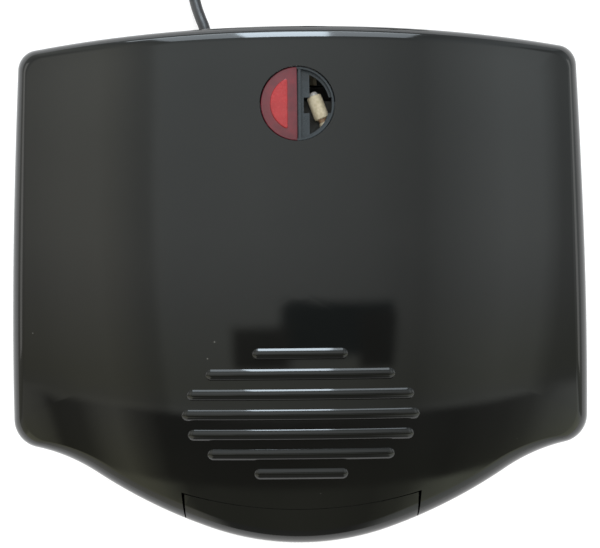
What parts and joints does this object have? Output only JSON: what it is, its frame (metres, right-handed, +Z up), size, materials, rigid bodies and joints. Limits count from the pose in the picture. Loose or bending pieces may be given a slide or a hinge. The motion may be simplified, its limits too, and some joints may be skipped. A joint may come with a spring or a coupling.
{
  "type": "sandwich maker",
  "caption": "Toasted sandwich maker with a hinged domed lid, ribbed front, nose latch, lamp window, triangular pocket plates and a coiled mains lead.",
  "frame": {"origin": "on the table under the middle of the body, leaving out the lead", "axes": "+X to the user's right, +Y to the rear with the hinge, +Z up"},
  "size_m": [0.2368, 0.3244, 0.0899],
  "materials": {
    "gloss_black": "polished black moulding",
    "matte_black": "fine matt black moulding",
    "coated_plate": "dark non-stick coating on die-cast plates",
    "zinc_steel": "zinc plated",
    "element_steel": "dull tube sheath, heat tinted",
    "shield_tin": "plain sheet",
    "ceramic_white": "unglazed ceramic look",
    "lamp_grey": "smooth grey moulding",
    "lens_red": "clear red moulding",
    "lamp_glass": "clear glass envelope",
    "woven_sleeve": "woven glass sleeving, cream",
    "foot_rubber": "soft matt black",
    "lead_rubber": "black flexible sheath",
    "plug_metal": "nickel plated"
  },
  "bodies": {
    "base": {"base_deck": "matte_black", "base_deck_screw_1": "zinc_steel", "base_deck_screw_2": "zinc_steel", "base_deck_screw_3": "zinc_steel", "base_deck_screw_4": "zinc_steel", "base_lead_sleeve": "woven_sleeve", "base_shell": "gloss_black", "cord_strain_relief": "lead_rubber", "hinge_pin_left": "zinc_steel", "hinge_pin_right": "zinc_steel", "inner_lead": "lead_rubber", "lower_cooking_plate": "coated_plate", "lower_heat_shield": "shield_tin", "lower_heating_element": "element_steel", "lower_plate_screw_1": "zinc_steel", "lower_plate_screw_2": "zinc_steel", "lower_plate_screw_3": "zinc_steel", "lower_plate_screw_4": "zinc_steel", "plug_body": "lead_rubber", "plug_earth_clip": "plug_metal", "plug_pin_left": "plug_metal", "plug_pin_right": "plug_metal", "power_cord": "lead_rubber", "power_cord_coil": "lead_rubber", "power_cord_tail": "lead_rubber", "rubber_foot_1": "foot_rubber", "rubber_foot_2": "foot_rubber", "rubber_foot_3": "foot_rubber", "rubber_foot_4": "foot_rubber", "terminal_block": "ceramic_white"},
    "lid": {"lamp_holder": "lamp_grey", "latch_pin_left": "zinc_steel", "latch_pin_right": "zinc_steel", "lid_deck": "matte_black", "lid_deck_screw_1": "zinc_steel", "lid_deck_screw_2": "zinc_steel", "lid_deck_screw_3": "zinc_steel", "lid_deck_screw_4": "zinc_steel", "lid_lead_sleeve": "woven_sleeve", "lid_shell": "gloss_black", "power_lamp": "lamp_glass", "power_lamp_sleeve": "woven_sleeve", "ready_lamp": "lamp_glass", "ready_lamp_sleeve": "woven_sleeve", "red_lens": "lens_red", "thermal_fuse": "ceramic_white", "thermostat": "ceramic_white", "upper_cooking_plate": "coated_plate", "upper_heat_shield": "shield_tin", "upper_heating_element": "element_steel", "upper_plate_screw_1": "zinc_steel", "upper_plate_screw_2": "zinc_steel", "upper_plate_screw_3": "zinc_steel", "upper_plate_screw_4": "zinc_steel"},
    "latch": {"latch": "gloss_black"}
  },
  "joints": [
    {"name": "lid_hinge", "type": "hinge", "parent": "base", "child": "lid", "pos_m": [0, 0.0944, 0.045], "axis": [-1, 0, 0], "range_deg": [0, 100]},
    {"name": "latch_swing", "type": "hinge", "parent": "lid", "child": "latch", "pos_m": [0, -0.0915, 0.057], "axis": [-1, 0, 0], "range_deg": [0, 14]}
  ]
}
